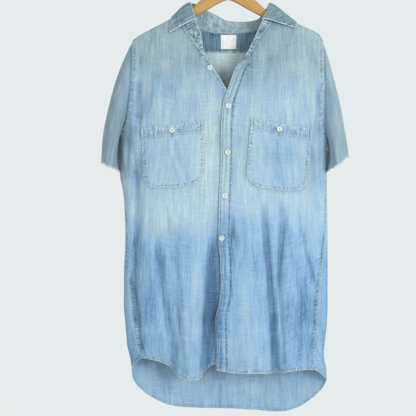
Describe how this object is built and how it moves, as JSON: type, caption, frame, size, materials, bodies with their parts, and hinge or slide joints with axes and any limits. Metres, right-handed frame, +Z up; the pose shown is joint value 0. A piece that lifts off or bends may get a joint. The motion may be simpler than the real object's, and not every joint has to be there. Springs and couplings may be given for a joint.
{
  "type": "chambray shirt on a wooden hanger",
  "caption": "Faded work shirt of light woven cotton with cut-off sleeves, breast pockets and a long curved tail, hanging on a flat wooden hanger.",
  "frame": {"origin": "where the hanger's hook sits on its rail, on the inside of the hook's top", "axes": "+X to the viewer's right when looking at the front, +Y from the front to the back, +Z up"},
  "size_m": [0.5648, 0.1087, 1.055],
  "materials": {
    "cloth_pale": "bleached chambray",
    "cloth_blue": "chambray",
    "thread": "frayed cotton",
    "button": "satin",
    "label": "woven tape",
    "wood": "clear lacquer",
    "metal": "satin"
  },
  "bodies": {
    "root": {"hanger_wood": "wood", "hanger_hook": "metal", "front_left": "cloth_pale", "front_right": "cloth_pale", "placket": "cloth_pale", "back": "cloth_blue", "yoke": "cloth_pale", "sleeve_left": "cloth_pale", "sleeve_right": "cloth_pale", "fray_left": "thread", "fray_right": "thread", "neckband": "cloth_pale", "collar_leaf": "cloth_pale", "pocket_left": "cloth_pale", "pocket_right": "cloth_pale", "label": "label", "button_front_1": "button", "button_front_2": "button", "button_front_3": "button", "button_front_4": "button", "button_front_5": "button", "button_pocket_left": "button", "button_pocket_right": "button"}
  },
  "joints": []
}
